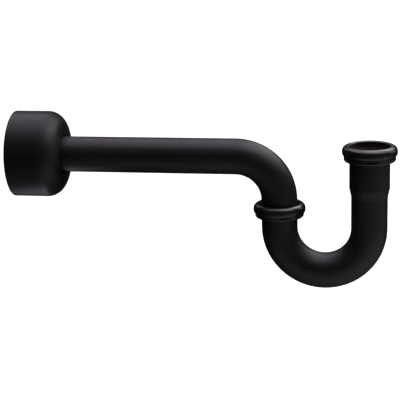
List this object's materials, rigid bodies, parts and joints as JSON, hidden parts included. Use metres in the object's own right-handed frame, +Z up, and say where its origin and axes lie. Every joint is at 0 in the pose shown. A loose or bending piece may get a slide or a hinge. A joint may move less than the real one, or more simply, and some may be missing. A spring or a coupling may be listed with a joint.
{
  "type": "p trap",
  "caption": "Tubular drain trap for a wash basin: J-bend with slip-joint nuts, wall tube with a quarter bend, and a deep sliding box flange.",
  "frame": {"origin": "centre of the wall tube's open end, on the tube's axis, in the plane of the wall that the flange's rim meets", "axes": "+X out of the wall along the wall tube, +Z up, +Y to the left of someone who faces the wall from the basin"},
  "size_m": [0.3413, 0.0768, 0.1567],
  "materials": {
    "coated_tube": "satin black powder coat on drawn brass tube",
    "coated_flange": "satin black powder coat on drawn brass sheet",
    "coated_nut": "satin black powder coat on cast brass",
    "raw_brass": "bare machined brass",
    "black_rubber": "moulded rubber"
  },
  "bodies": {
    "arm": {"wall_tube": "coated_tube"},
    "flange": {"box_flange": "coated_flange", "flange_grip_ring": "black_rubber"},
    "union_seal": {"union_washer": "black_rubber"},
    "j_bend": {"j_bend": "coated_tube", "outlet_thread_collar": "raw_brass", "inlet_thread_collar": "raw_brass", "inlet_washer": "black_rubber"},
    "union_ring": {"union_friction_ring": "raw_brass"},
    "union_nut": {"union_nut": "coated_nut"},
    "inlet_ring": {"inlet_friction_ring": "raw_brass"},
    "inlet_nut": {"inlet_nut": "coated_nut"}
  },
  "joints": [
    {"name": "flange_slide", "type": "slide", "parent": "arm", "child": "flange", "axis": [1, 0, 0], "range_m": [0, 0.15]},
    {"name": "j_bend_drop", "type": "slide", "parent": "arm", "child": "union_seal", "axis": [0, 0, -1], "range_m": [0, 0.025]},
    {"name": "j_bend_swivel", "type": "hinge", "parent": "union_seal", "child": "j_bend", "pos_m": [0.2385, 0, -0.0483], "axis": [0, 0, 1], "range_deg": [-120, 120]},
    {"name": "union_ring_rise", "type": "slide", "parent": "j_bend", "child": "union_ring", "axis": [0, 0, 1], "range_m": [0, 0.0056]},
    {"name": "union_nut_turn", "type": "hinge", "parent": "union_ring", "child": "union_nut", "pos_m": [0.2385, 0, -0.0443], "axis": [0, 0, 1], "range_deg": [0, 900]},
    {"name": "inlet_ring_rise", "type": "slide", "parent": "j_bend", "child": "inlet_ring", "axis": [0, 0, 1], "range_m": [0, 0.0067]},
    {"name": "inlet_nut_turn", "type": "hinge", "parent": "inlet_ring", "child": "inlet_nut", "pos_m": [0.3173, 0, 0.0084], "axis": [0, 0, 1], "range_deg": [0, 1080]}
  ],
  "couplings": [
    {"joint": "union_ring_rise", "follows": "union_nut_turn", "m_per_rad": 0.00035157},
    {"joint": "inlet_ring_rise", "follows": "inlet_nut_turn", "m_per_rad": 0.00035157}
  ]
}
